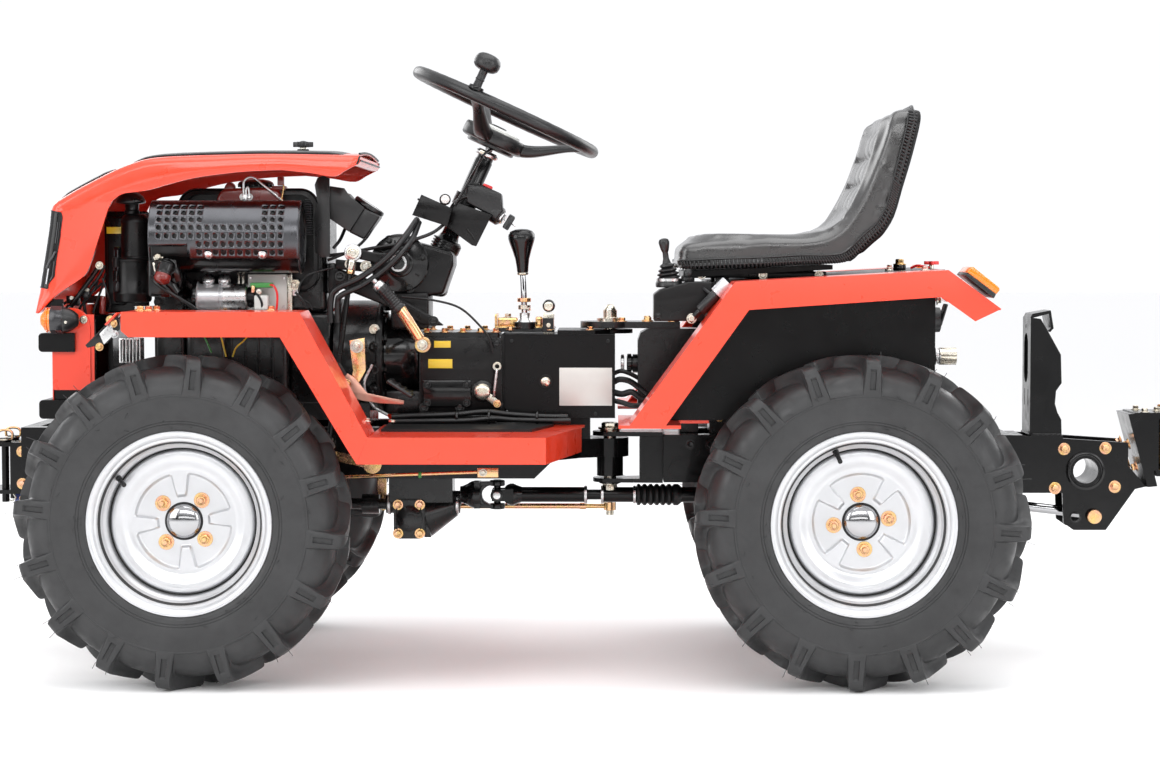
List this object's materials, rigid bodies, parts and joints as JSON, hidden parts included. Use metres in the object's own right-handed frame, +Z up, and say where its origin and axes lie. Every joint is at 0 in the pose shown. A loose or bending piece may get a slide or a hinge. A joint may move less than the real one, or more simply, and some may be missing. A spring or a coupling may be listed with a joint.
{
  "type": "articulated mini tractor",
  "caption": "Small articulated four-wheel-drive tractor with equal lugged tyres, red sheet metal, tilting hood, open seat, drive shaft under the centre pivot and a rear lift hitch.",
  "frame": {"origin": "on the ground under the middle of the machine's bounding box", "axes": "+X to the rear, +Y to the machine's right, +Z up"},
  "size_m": [2.44, 0.945, 1.212],
  "materials": {
    "red_paint": "gloss powder coat",
    "gloss_black": "gloss",
    "satin_black": "satin",
    "cast_black": "gloss over castings",
    "muffler_grey": "semi gloss heat paint",
    "silver_paint": "metallic silver",
    "tyre_rubber": "matte",
    "rubber": "matte",
    "yellow_zinc": "yellow zinc plate",
    "bright_zinc": "bright zinc",
    "chrome_rod": "polished",
    "amber": "clear amber",
    "vinyl": "grained vinyl",
    "soft_black": "soft moulded"
  },
  "bodies": {
    "front": {"front_frame": "gloss_black", "front_axle": "cast_black", "transfer_case": "cast_black", "engine_block": "satin_black", "muffler": "muffler_grey", "air_cleaner": "satin_black", "gearbox": "cast_black", "gearbox_cover": "satin_black", "gear_levers": "bright_zinc", "platform": "red_paint", "floor_mats": "rubber", "front_fenders": "red_paint", "fender_flaps": "rubber", "nose_panel": "red_paint", "bumper_bars": "satin_black", "front_indicators": "amber", "front_hitch": "gloss_black", "steering_box": "cast_black", "steering_column": "satin_black", "instrument_box": "satin_black", "hand_lever": "yellow_zinc", "brake_pedal": "yellow_zinc"},
    "rear": {"rear_frame": "gloss_black", "pivot_pins": "bright_zinc", "rear_axle": "cast_black", "rear_casing": "cast_black", "pto_shaft": "bright_zinc", "rear_deck": "satin_black", "rear_fenders": "red_paint", "tail_lamps": "amber", "console": "satin_black", "seat_cushion": "vinyl", "hitch_frame": "gloss_black"},
    "hood": {"hood": "red_paint", "hood_fittings": "satin_black"},
    "wheel_front_left": {"tyre_front_left": "tyre_rubber", "rim_front_left": "silver_paint"},
    "wheel_front_right": {"tyre_front_right": "tyre_rubber", "rim_front_right": "silver_paint"},
    "wheel_rear_left": {"tyre_rear_left": "tyre_rubber", "rim_rear_left": "silver_paint"},
    "wheel_rear_right": {"tyre_rear_right": "tyre_rubber", "rim_rear_right": "silver_paint"},
    "steering_wheel": {"steering_wheel": "soft_black"},
    "pitman_arm": {"pitman_arm": "yellow_zinc"},
    "drag_link": {"drag_link": "yellow_zinc"},
    "relay_shaft": {"relay_shaft": "yellow_zinc"},
    "steering_rod": {"steering_rod": "yellow_zinc"},
    "shaft_front": {"shaft_front": "gloss_black"},
    "shaft_rear": {"shaft_rear": "gloss_black", "shaft_bellows": "rubber"},
    "hitch_rocker": {"hitch_rocker": "gloss_black", "hitch_clevis": "gloss_black"},
    "lift_cylinder": {"lift_cylinder": "gloss_black"},
    "lift_rod": {"lift_rod": "chrome_rod"}
  },
  "joints": [
    {"name": "articulation", "type": "hinge", "parent": "front", "child": "rear", "pos_m": [0.07, 0, 0.45], "axis": [0, 0, 1], "range_deg": [-30, 30]},
    {"name": "front_left_wheel", "type": "hinge", "parent": "front", "child": "wheel_front_left", "pos_m": [-0.734, -0.395, 0.315], "axis": [0, 1, 0], "continuous": true},
    {"name": "front_right_wheel", "type": "hinge", "parent": "front", "child": "wheel_front_right", "pos_m": [-0.734, 0.395, 0.315], "axis": [0, 1, 0], "continuous": true},
    {"name": "rear_left_wheel", "type": "hinge", "parent": "rear", "child": "wheel_rear_left", "pos_m": [0.543, -0.395, 0.315], "axis": [0, 1, 0], "continuous": true},
    {"name": "rear_right_wheel", "type": "hinge", "parent": "rear", "child": "wheel_rear_right", "pos_m": [0.543, 0.395, 0.315], "axis": [0, 1, 0], "continuous": true},
    {"name": "hood_hinge", "type": "hinge", "parent": "front", "child": "hood", "pos_m": [-1.038, 0, 0.722], "axis": [0, -1, 0], "range_deg": [0, 60]},
    {"name": "steering_wheel_turn", "type": "hinge", "parent": "front", "child": "steering_wheel", "pos_m": [-0.141, 0, 1.104], "axis": [0.416, 0, 0.9094], "range_deg": [-310, 310]},
    {"name": "pitman_swing", "type": "hinge", "parent": "front", "child": "pitman_arm", "pos_m": [-0.347, -0.15, 0.8], "axis": [0, 1, 0], "range_deg": [-28, 28]},
    {"name": "drag_link_pin", "type": "hinge", "parent": "pitman_arm", "child": "drag_link", "pos_m": [-0.4357, -0.165, 0.8206], "axis": [0, 1, 0], "range_deg": [-28, 28]},
    {"name": "relay_swing", "type": "hinge", "parent": "front", "child": "relay_shaft", "pos_m": [-0.4, 0, 0.402], "axis": [0, 1, 0], "range_deg": [-28, 28]},
    {"name": "steering_rod_pin", "type": "hinge", "parent": "rear", "child": "steering_rod", "pos_m": [0.07, 0.095, 0.2955], "axis": [0, 0, 1], "range_deg": [-32, 32]},
    {"name": "front_universal_joint", "type": "hinge", "parent": "front", "child": "shaft_front", "pos_m": [-0.1595, 0, 0.3284], "axis": [0, 0, 1], "range_deg": [-17, 17]},
    {"name": "rear_universal_joint", "type": "hinge", "parent": "rear", "child": "shaft_rear", "pos_m": [0.2995, 0, 0.3284], "axis": [0, 0, 1], "range_deg": [-17, 17]},
    {"name": "hitch_lift", "type": "hinge", "parent": "rear", "child": "hitch_rocker", "pos_m": [1.0245, 0, 0.3834], "axis": [0, -1, 0], "range_deg": [-12, 26]},
    {"name": "lift_cylinder_pin", "type": "hinge", "parent": "rear", "child": "lift_cylinder", "pos_m": [0.692, 0, 0.331], "axis": [0, -1, 0], "range_deg": [-4, 6]},
    {"name": "lift_rod_slide", "type": "slide", "parent": "lift_cylinder", "child": "lift_rod", "axis": [0.9935, 0, -0.114], "range_m": [-0.022, 0.045]}
  ],
  "couplings": [
    {"joint": "steering_wheel_turn", "follows": "articulation", "ratio": -10},
    {"joint": "pitman_swing", "follows": "articulation", "ratio": 0.883},
    {"joint": "drag_link_pin", "follows": "articulation", "ratio": -0.883},
    {"joint": "relay_swing", "follows": "articulation", "ratio": 0.883},
    {"joint": "steering_rod_pin", "follows": "articulation", "ratio": -1},
    {"joint": "front_universal_joint", "follows": "articulation", "ratio": 0.5},
    {"joint": "rear_universal_joint", "follows": "articulation", "ratio": -0.5},
    {"joint": "lift_cylinder_pin", "follows": "hitch_lift", "ratio": 0.11},
    {"joint": "lift_rod_slide", "follows": "hitch_lift", "m_per_rad": 0.0855}
  ]
}
